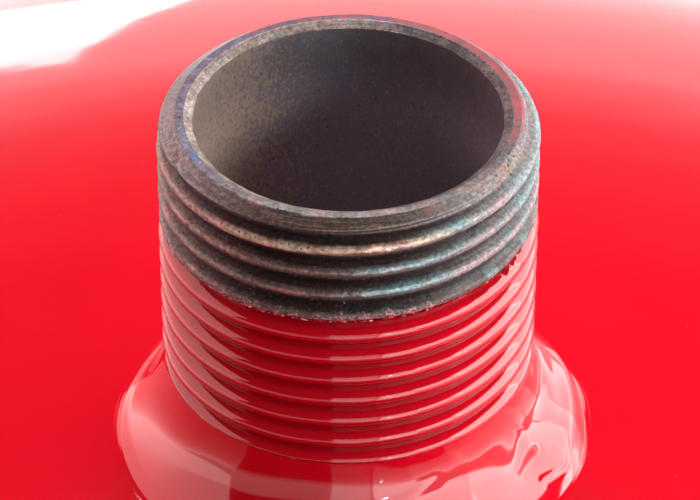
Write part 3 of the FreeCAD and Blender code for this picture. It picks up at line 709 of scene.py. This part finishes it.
def coat_grid():
    """Helical rows over the coat, which dips under the bare steel above its torn edge, closed by plain
    rings inside the pipe's wall. Returns its corners, how much painted shade each takes, and its faces.
    The enamel is painted darker red as shade below each crest line, under the torn edge and in the seam."""
    depths = helix_rows(FIRST_CREST - PITCH / 2 - COAT_TOP - 0.2 * PITCH,
                        FIRST_CREST + PITCH / 2 - COAT_BOTTOM, COAT_ROWS_PER_PITCH)
    bearing = bearings(COAT_COLUMNS, -180.0)
    depth = depths[:, None]
    height = FIRST_CREST + PITCH * bearing / (2 * math.pi) - depth
    radius = np.broadcast_to(coated_radius(depth), height.shape).copy()
    radius += 0.008 * waves(bearing, height, 21, 40, 14.0, 3.0) * smooth_step(height, -11.5, -14.5)
    radius += 0.006 * waves(bearing, height, 22, 50, 2.5, 0.7) * smooth_step(height, -12.0, -10.0)
    last = smooth_step(height, SEAM + 0.1, SEAM - 0.4)
    radius = radius * (1 - last) + SEAM_RADIUS * last
    under = thread_radius(depth) - COAT_DIP
    share = smooth_step(height - paint_edge(bearing), 0.12, -0.06)
    radius = under + (radius - under) * share
    radius = np.where((height >= COAT_TOP) | (height <= COAT_BOTTOM), COAT_INSIDE, radius)
    height = np.clip(height, COAT_BOTTOM, COAT_TOP)
    rings = np.array([(COAT_INSIDE, COAT_BOTTOM + 6), (COAT_INSIDE, COAT_TOP - 6)])
    radius, height = add_rings(radius, height, rings)
    step = np.concatenate([(depths + PITCH / 2) % PITCH - PITCH / 2, np.zeros(len(rings))])[:, None]
    # Painted shade: darker red is painted in the roots, just under the torn edge and in the seam below
    # the last turn, where shade falls.
    painted_root_shade = smooth_step(step, 0.0, 0.28) + smooth_step(step, -0.6, -1.05)
    painted_root_shade = np.maximum(painted_root_shade, smooth_step(height - paint_edge(bearing), -1.1, -0.3))
    painted_root_shade = np.maximum(painted_root_shade, smooth_step(height, SEAM + 0.25, SEAM))
    faces = helix_faces(len(depths), len(rings), COAT_COLUMNS, COAT_ROWS_PER_PITCH)
    return about_axis(radius, bearing, RIM + height), painted_root_shade, faces


def thread_enamel_painted_shade():
    """The vessel's enamel, painted darker red as shade in the roots of the thread, under the torn edge
    and in the seam.
    """
    material = enamel("thread_enamel_painted_shade", 0.6, 1.0, 0.06)
    tree = material.node_tree
    shader = tree.nodes["Principled BSDF"]
    root = add_node(tree, "Attribute", attribute_name="painted_root_shade").outputs["Fac"]
    film = shader.inputs["Base Color"].links[0].from_socket
    # Painted shade: the roots, the torn edge's underside and the seam get a darker red from the stored
    # share.
    feed(shader, {"Base Color": blend(root, film, colour(0.31, 0.001, 0.007))})
    return material


corners, painted_root_shade, faces = coat_grid()
coat = new_piece("nipple_coat", corners, faces, thread_enamel_painted_shade())
store(coat, "painted_root_shade", painted_root_shade)
merge_doubles(coat)
coat.data.set_sharp_from_angle(angle=math.radians(50))


# A collar of weld joins the nipple to the crown. The enamel lies smooth on its left side; on its
# right it has sagged to a shelf, with a drop, a bar and a curled run on it.
COLLAR_FLARE = 57.0
COLLAR_COLUMNS = 720
COLLAR_ROWS = 96
COLLAR_START = 16.5
COLLAR_TOE = 21.2
COLLAR_INSIDE = 15.6
COLLAR_UNROLL = 18.5
SHELF_TILT = 72.0
LIP_TILT = 40.0
LIP_START = 0.66
RUNS = [([(2, 5.4), (8, 4.8), (16, 4.1), (27, 3.2)], 0.7, 0.07),
        ([(60.5, 2.9), (65.5, 4.0), (66.5, 5.4), (66.5, 7.5)], 0.2, -0.022),
        ([(66.5, 7.5), (69, 7.0), (72, 6.8), (73, 7.8), (71.5, 9.8)], 0.2, -0.022)]
DRIPS = [((62.5, 5.95), (56.5, 6.5), 1.0, 0.5, 0.5), ((69.5, 9.3), (61.5, 8.75), 0.42, 0.4, 0.0)]
SKIRT_REACH = np.array([0.08, 0.16, 0.26, 0.38, 0.52, 0.7, 0.95])[:, None]
SKIRT_FADE = np.array([0.9, 0.62, 0.36, 0.16, 0.04, -0.05, -0.35])[:, None]


def collar_toe(bearing):
    """Where the collar meets the crown, further out on its right, less so behind."""
    turned = np.degrees(bearing)
    behind = smooth_step(turned, 105, 132) * smooth_step(turned, 180, 155)
    uneven = 0.08 * waves(bearing, 0 * bearing, 31, 6, 60.0, 20.0)
    return COLLAR_TOE + 0.45 * np.sin(bearing) - 0.7 * behind + uneven


def along_path(bearing, reach, path, width, lift):
    """A ridge, or a groove if lift is below 0, along a path of bearings and reaches."""
    nearest = 1e9
    for start, end in zip(path[:-1], path[1:]):
        _, aside, down = from_line(bearing, reach, start, end, COLLAR_UNROLL)
        nearest = np.minimum(nearest, np.hypot(aside, down))
    return lift * np.exp(-(nearest / width) ** 2)


def drip(bearing, reach, start, end, width, slope, taper):
    """A drip from start to end that bulges on its upper side and is hollow on its lower one. Its
    width shrinks towards its end by the share taper."""
    share, aside, down = from_line(bearing, reach, start, end, COLLAR_UNROLL)
    off = np.hypot(aside, down) / (width * (1 - taper * share))
    return -slope * down * np.exp(-off ** 2)


def collar_tilt(turned, share):
    """How far the collar's face leans back at a bearing in degrees and a share of the way down:
    it turns steadily outwards, sooner at the sides; on the right a shelf ends in a steep lip."""
    side = smooth_step(np.abs(turned), 60, 92)
    tilt = (COLLAR_FLARE + 8 * side) * share ** (1 - 0.3 * side)
    sagged = smooth_step(turned, 58, 84) * smooth_step(turned, 165, 135)
    shelf = SHELF_TILT * np.minimum(share / 0.3, 1) ** 0.8
    shelf = shelf + (LIP_TILT - SHELF_TILT) * smooth_step(share, LIP_START, 0.97)
    return np.radians(tilt + (shelf - tilt) * sagged)


def paint_lift(bearing, turned, share, reach):
    """What the paint adds along the normal: a slow unevenness, its runs, and a low edge."""
    lift = 0.04 * waves(bearing, reach, 32, 30, 30.0, 7.0)
    right = smooth_step(turned, 12, 40) * smooth_step(turned, 125, 95)
    lift = lift + right * 0.03 * waves(bearing, reach, 33, 40, 9.0, 3.0)
    for run in RUNS:
        lift = lift + along_path(bearing, reach, *run)
    for bulge in DRIPS:
        lift = lift + drip(bearing, reach, *bulge)
    return lift * smooth_step(share, 0.0, 0.12) + 0.12 * smooth_step(share, 0.86, 1.0)


def collar_grid():
    """Rows down the collar's face, whose steps follow its tilt; then a skirt that rolls over the
    low edge and dips under the crown, and rings back up inside."""
    bearing = bearings(COLLAR_COLUMNS, -180.0)
    turned = np.degrees(bearing)
    toe = collar_toe(bearing)
    toe_height = crown_height(toe) - RIM
    share = np.linspace(0, 1, COLLAR_ROWS)[:, None]
    tilt = collar_tilt(turned, share)
    out, down = np.cumsum(np.sin(tilt), axis=0), np.cumsum(np.cos(tilt), axis=0)
    out, down = (out - out[0]) / (out[-1] - out[0]), (down - down[0]) / (down[-1] - down[0])
    reach = share * np.hypot(toe - COLLAR_START, toe_height - SEAM)
    lift = paint_lift(bearing, turned, share, reach)
    radius = COLLAR_START + out * (toe - COLLAR_START) + lift * np.cos(tilt)
    height = SEAM + down * (toe_height - SEAM) + lift * np.sin(tilt)
    edge_lift = height[-1:] - crown_height(radius[-1:]) + RIM
    skirt_radius = radius[-1:] + SKIRT_REACH
    dip = np.where(SKIRT_FADE < 0, 0.4, edge_lift)
    skirt_height = crown_height(skirt_radius) - RIM + SKIRT_FADE * dip
    radius, height = np.vstack([radius, skirt_radius]), np.vstack([height, skirt_height])
    inside = [(COLLAR_INSIDE, -36.1), (COLLAR_INSIDE, -30.5), (COLLAR_INSIDE, SEAM + 0.3),
              (COLLAR_START - 0.5, SEAM + 0.2)]
    radius, height = add_rings(radius, height, np.array(inside))
    return about_axis(radius, bearing, RIM + height)


corners = collar_grid()
collar = new_piece("nipple_weld_enamelled", corners, ring_faces(len(corners), COLLAR_COLUMNS),
                   enamel("collar_enamel", 0.8, 0.7, 0.06), replaced=["nipple_weld"])
merge_doubles(collar)


# The gas valve's boss is turned from steel bar and welded into the lower head, with a small
# rippled fillet round it. Both are enamelled with the vessel.
def frame_mesh(node):
    """Corners in mm and triangles of a piece as the frame has it."""
    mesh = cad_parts[node].data
    corners = np.empty(len(mesh.vertices) * 3, np.float32)
    faces = np.empty(len(mesh.loops), np.int32)
    mesh.vertices.foreach_get("co", corners)
    mesh.loops.foreach_get("vertex_index", faces)
    return corners.reshape(-1, 3) / MM, faces.reshape(-1, 3)


def ease_edges(piece, width, sharper=32.0):
    """Joins flat faces, rounds off the edges that are sharper than that, and smooths the rest."""
    def bevel(work):
        bmesh.ops.dissolve_limit(work, angle_limit=math.radians(0.4), verts=work.verts, edges=work.edges)
        limit = math.radians(sharper)
        sharp = [edge for edge in work.edges if edge.is_manifold and edge.calc_face_angle() > limit]
        bmesh.ops.bevel(work, geom=sharp, offset=width * MM, segments=2, profile=0.5, affect="EDGES",
                        clamp_overlap=True)
        bmesh.ops.triangulate(work, faces=[face for face in work.faces if len(face.verts) > 4])

    merge_doubles(piece, bevel)
    piece.data.set_sharp_from_angle(angle=math.radians(40))


def under_head(radius):
    """How high the lower head's outside lies above the floor, that far out from the axis."""
    return FLOOR_CLEARANCE + CROWN_RADIUS - np.sqrt(CROWN_RADIUS ** 2 - radius ** 2)


BOSS_RADIUS = 13.0
BOSS_WELD_LEG = 4.0
BOSS_WELD_RIPPLES = 46
BOSS_WELD_RISE = 0.25
BOSS_WELD_HOLLOW = 0.45
BOSS_WELD_ROWS = 12
BOSS_WELD_COLUMNS = 552


def boss_weld_grid():
    """A fillet from the boss to the head: a hollow section, with ripples that bow along it."""
    bearing = bearings(BOSS_WELD_COLUMNS)
    share = np.linspace(0, 1, BOSS_WELD_ROWS)[:, None]
    toe_height = under_head(BOSS_RADIUS + BOSS_WELD_LEG)
    drop = toe_height - FLOOR_CLEARANCE + BOSS_WELD_LEG
    ripple = (BOSS_WELD_RIPPLES * bearing / (2 * math.pi) + 2 * share * (1 - share)) % 1
    lift = (BOSS_WELD_RISE * (1 - ripple) ** 0.5 - BOSS_WELD_HOLLOW) * np.sin(math.pi * share)
    radius = BOSS_RADIUS - 0.3 + share * (BOSS_WELD_LEG + 0.4) + lift * 0.7
    height = FLOOR_CLEARANCE - BOSS_WELD_LEG + share * (drop + 0.2) - lift * 0.7
    inner = [(BOSS_RADIUS + 2, toe_height + 1.0), (BOSS_RADIUS - 0.8, toe_height + 1.0),
             (BOSS_RADIUS - 0.8, FLOOR_CLEARANCE - BOSS_WELD_LEG + 0.6)]
    radius, height = add_rings(radius, height, np.array(inner))
    return about_axis(radius, bearing, height)


boss = new_piece("valve_boss_enamelled", *frame_mesh("valve_boss"), shell_enamel,
                 replaced=["valve_boss"])
ease_edges(boss, 0.25)
corners = boss_weld_grid()
boss_weld = new_piece("valve_boss_weld_enamelled", corners,
                      ring_faces(len(corners), BOSS_WELD_COLUMNS),
                      enamel("weld_enamel", 1.5, 0.8, 0.09), replaced=["valve_boss_weld"])
merge_doubles(boss_weld)


# Inside and under the boss sit the small parts of the gas valve, bought in. They are brass,
# rubber, hard white plastic and spring wire, under a push-on cover of black plastic.
def moulded(name, tone, grain, roughness):
    """Moulded rubber or plastic: slightly cloudy, with the fine grain of its mould."""
    material, tree, shader = new_material(name)
    place = in_mm(tree)
    dull = colour(*(channel * 0.72 for channel in tone))
    cloud = rise(noise(place, 0.1, 3.0), 0.3, 0.7)
    dusty = rise(noise(place, 1.7, 5.0, 0.7), 0.62, 0.8)
    shade = blend(cloud, dull, colour(*tone))
    shade = blend(times(dusty, 0.12), shade, colour(0.35, 0.33, 0.31))
    rough = linear(noise(place, 0.5, 3.0), 0.16, roughness - 0.08)
    pits = bumped(noise(place, grain, 3.0, 0.6), 0.35, 0.00006)
    feed(shader, {"Base Color": shade, "Roughness": rough, "Normal": pits})
    return material


def turned_metal(name, tone, roughness):
    """Turned or drawn metal: fine rings round its axis and a slight tarnish."""
    material, tree, shader = new_material(name)
    shader.inputs["Metallic"].default_value = 1.0
    tarnish = rise(noise(in_mm(tree), 0.35, 4.0), 0.4, 0.7)
    dull = colour(*(channel * 0.55 for channel in tone))
    shade = blend(times(tarnish, 0.7), colour(*tone), dull)
    rough = linear(tarnish, 0.18, roughness)
    rings = bumped(noise(in_mm(tree, (0.3, 0.3, 7.0)), 1.0, 3.0, 0.6), 0.4, 0.00002)
    feed(shader, {"Base Color": shade, "Roughness": rough, "Normal": rings})
    return material


def dress(material, *nodes):
    """Gives pieces that stay as the frame has them their material."""
    for node in nodes:
        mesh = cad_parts[node].data
        mesh.materials.clear()
        mesh.materials.append(material)


dress(moulded("black_rubber", (0.03, 0.029, 0.029), 2.5, 0.62),
      "diaphragm", "valve_o_ring", "valve_core_seal", "valve_cap_seal")
dress(turned_metal("brass", (0.72, 0.52, 0.25), 0.22),
      "valve_stem", "valve_core_barrel", "valve_core_pin", "valve_cap")
spring = new_piece("valve_core_spring_wound", *frame_mesh("valve_core_spring"),
                   turned_metal("spring_wire", (0.55, 0.54, 0.52), 0.26),
                   slot="spring_steel", replaced=["valve_core_spring"])
merge_doubles(spring)
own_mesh(spring)
dress(moulded("white_plastic", (0.78, 0.77, 0.72), 3.0, 0.45), "valve_core_gasket")
cover = new_piece("valve_cover_moulded", *frame_mesh("valve_cover"),
                  moulded("black_plastic", (0.028, 0.028, 0.03), 4.0, 0.42),
                  body="cover", slot="black_plastic", replaced=["valve_cover"])
ease_edges(cover, 0.2)


# Each of the three feet is a strip of sheet, rolled round and folded out to a pad with a bolt
# hole. A rippled bead of weld runs round its top, and all of it is enamelled red.
FOOT_FACE = SHELL_RADIUS - 40.0
FOOT_SHEET = 3.0
FOOT_WIDTH = 52.0
FOOT_BEARINGS = (180.0, -60.0, 60.0)
BEAD_SIZE = 2.9
BEAD_RIPPLE = 1.7
BEAD_RISE = 0.35
BEAD_GAP = 0.5
BEAD_STEPS = 7
BEAD_COLUMNS = 16
foot_enamel = enamel("foot_enamel", 1.4, 0.5, 0.08)
weld_enamel = enamel("bead_enamel", 1.0, 0.8, 0.08)


def bead_grid(bearing):
    """A tube laid on the head round the strip's section: its path is a long slot with round
    ends, its size rises and falls with each ripple, and the ripples bow along the run."""
    middle = FOOT_FACE + FOOT_SHEET / 2
    half_gap = FOOT_SHEET / 2 + BEAD_GAP
    turn_length = math.pi * half_gap
    length = 2 * FOOT_WIDTH + 2 * turn_length
    ripples = round(length / BEAD_RIPPLE)
    place = np.arange(ripples * BEAD_STEPS)[:, None] * length / (ripples * BEAD_STEPS)
    first_turn = np.clip((place - FOOT_WIDTH) / turn_length, 0, 1)
    heading = math.pi * (first_turn + np.clip((place - 2 * FOOT_WIDTH) / turn_length - 1, 0, 1))
    along = np.clip(place, 0, FOOT_WIDTH) - FOOT_WIDTH / 2
    along = along - np.clip(place - FOOT_WIDTH - turn_length, 0, FOOT_WIDTH)
    section = bearings(BEAD_COLUMNS)
    phase = (place * ripples / length + 0.3 * np.cos(section)) % 1
    size = BEAD_SIZE + BEAD_RISE * np.sqrt(1 - phase) - 0.2
    beside = half_gap + size * np.cos(section)
    sideways = along + beside * np.sin(heading)
    height = under_head(middle + half_gap * np.cos(heading)) + size * np.sin(section)
    angle = math.radians(bearing) + sideways / middle
    return about_axis(middle + beside * np.cos(heading), angle, height)


for number, bearing in enumerate(FOOT_BEARINGS, start=1):
    foot = new_piece(f"foot_{number}_enamelled", *frame_mesh(f"foot_{number}"), foot_enamel,
                     replaced=[f"foot_{number}"])
    ease_edges(foot, 0.5)
    corners = bead_grid(bearing)
    bead = new_piece(f"foot_weld_{number}_enamelled", corners, ring_faces(len(corners), BEAD_COLUMNS),
                     weld_enamel, replaced=[f"foot_weld_{number}"])
    merge_doubles(bead)


# The floor is a sweep of pale, matt paper. It glows a little where the camera or the enamel's
# gloss looks at it, and is near white there.
FLOOR_REACH = 30.0
floor_mesh = bpy.data.meshes.new("floor")
floor_corners = [(-1, -1), (1, -1), (1, 1), (-1, 1)]
floor_mesh.from_pydata([(across * FLOOR_REACH, away * FLOOR_REACH, 0) for across, away in floor_corners],
                       [], [(0, 1, 2, 3)])
floor = add_object("floor", floor_mesh)
floor_paper, tree, shader = new_material("floor_paper")
shader.inputs["Base Color"].default_value = colour(0.8, 0.8, 0.8)
shader.inputs["Roughness"].default_value = 0.9
rays = add_node(tree, "LightPath")
seen = maths("MAXIMUM", rays.outputs["Is Camera Ray"], rays.outputs["Is Glossy Ray"])
seen = maths("MAXIMUM", seen, rays.outputs["Is Transmission Ray"])
paper_glow = linear(rays.outputs["Is Glossy Ray"], 0.7, 1.0)
glow = add_node(tree, "Emission", {"Color": colour(0.95, 0.95, 0.95), "Strength": paper_glow})
sides = {0: times(seen, 0.6), 1: shader.outputs[0], 2: glow.outputs[0]}
feed(tree.nodes["Material Output"], {"Surface": add_node(tree, "MixShader", sides).outputs[0]})
floor_mesh.materials.append(floor_paper)


# The room is a dark studio, which lights the part faintly and shows in its gloss. Behind the tank
# its wall is pale low down and fades to dark above. The camera sees near-white paper instead.
WALL_TONES = [(0.05, 0.7), (0.105, 0.48), (0.17, 0.3), (0.24, 0.2), (0.33, 0.13), (0.45, 0.07)]
world = bpy.data.worlds.new("studio")
bpy.context.scene.world = world
world.use_nodes = True
tree = world.node_tree
heading = add_node(tree, "SeparateXYZ", {"Vector": add_node(tree, "TexCoord").outputs["Generated"]})
wall = add_node(tree, "ValToRGB", {"Fac": heading.outputs["Z"]})
wall.color_ramp.interpolation = "EASE"
wall.color_ramp.elements[0].color = colour(1.0, 1.0, 1.0)
wall.color_ramp.elements[1].color = colour(0.05, 0.05, 0.05)
for climb, tone in WALL_TONES:
    wall.color_ramp.elements.new(climb).color = colour(tone, tone, tone)
behind = rise(heading.outputs["Y"], -0.1, 0.6)
room = blend(behind, colour(0.04, 0.04, 0.04), wall.outputs[0])
rays = add_node(tree, "LightPath")
paper = blend(rays.outputs["Is Camera Ray"], room, colour(0.93, 0.93, 0.93))
feed(tree.nodes["Background"], {"Color": paper})


# Softboxes stand on the right and in front, as one bright band of several tones, and a large one
# on the left. A key lamp hangs above behind, a low one glows behind, and a small one is in front.
LAMP_TARGET = RIM - 15.0
LAMP_DISTANCE = 1.6


def lamp(name, bearing, elevation, width, height, brightness, distance=LAMP_DISTANCE,
         tint=(1, 1, 1), lean=0.0):
    """An area lamp that faces the nipple, seen from it at that bearing and elevation."""
    data = bpy.data.lights.new(name, "AREA")
    data.shape = "RECTANGLE"
    data.size = width
    data.size_y = height
    data.energy = brightness * math.pi * width * height
    data.color = tint
    thing = add_object(name, data)
    climb = math.radians(elevation)
    away = about_axis(math.cos(climb), math.radians(bearing), math.sin(climb))
    thing.location = (0, 0, LAMP_TARGET * MM) + away * distance
    aim = Vector(-away).to_track_quat("-Z", "Y")
    thing.rotation_mode = "QUATERNION"
    thing.rotation_quaternion = aim @ mathutils.Quaternion((0, 0, 1), math.radians(lean))
    thing.visible_camera = False
    return thing


lamp("right_box", 86, 12, 1.42, 1.24, 8.5)
lamp("right_back_box", 121, 12, 0.622, 1.24, 6.0)
lamp("right_rear_box", 144, 12, 0.68, 1.24, 3.2)
lamp("right_front_box", 50.3, 8, 0.71, 0.98, 7.0)
lamp("front_right_box", 27, 0, 0.62, 1.2, 5.0).visible_diffuse = False
lamp("front_box", 2, 3, 0.72, 1.3, 2.2).visible_diffuse = False
lamp("left_box", -109, 12, 3.1, 1.55, 2.9, tint=(1.0, 0.62, 0.62))
lamp("back_key", 180, 63, 1.0, 0.8, 15.5)
lamp("back_glow", -168.7, -11.5, 0.36, 0.46, 3.0, distance=1.9, lean=-21.0)
lamp("front_spot", 21, 0, 0.04, 0.04, 150.0, distance=1.5)


# The camera looks down on the nipple from the front, through a long lens. Its place and its
# focal length, in pixels of a picture 700 wide, are fitted to the photograph.
CAMERA_BACK = 269.2
CAMERA_ABOVE_RIM = 193.51
CAMERA_PITCH = 37.76
FOCAL_PIXELS = 3848.0
PICTURE_WIDTH = 700.0
AXIS_PIXEL = 348.3
SENSOR = 36.0
camera_data = bpy.data.cameras.new("camera")
camera_data.sensor_width = SENSOR
camera_data.lens = SENSOR * FOCAL_PIXELS / PICTURE_WIDTH
camera_data.shift_x = (PICTURE_WIDTH / 2 - AXIS_PIXEL) / PICTURE_WIDTH
camera_data.clip_start = 0.01
camera_data.clip_end = 100.0
camera = add_object("camera", camera_data)
camera.location = (0, -CAMERA_BACK * MM, (RIM + CAMERA_ABOVE_RIM) * MM)
camera.rotation_euler = (math.radians(90 - CAMERA_PITCH), 0, 0)
bpy.context.scene.camera = camera
bpy.context.scene.view_settings.view_transform = "Standard"
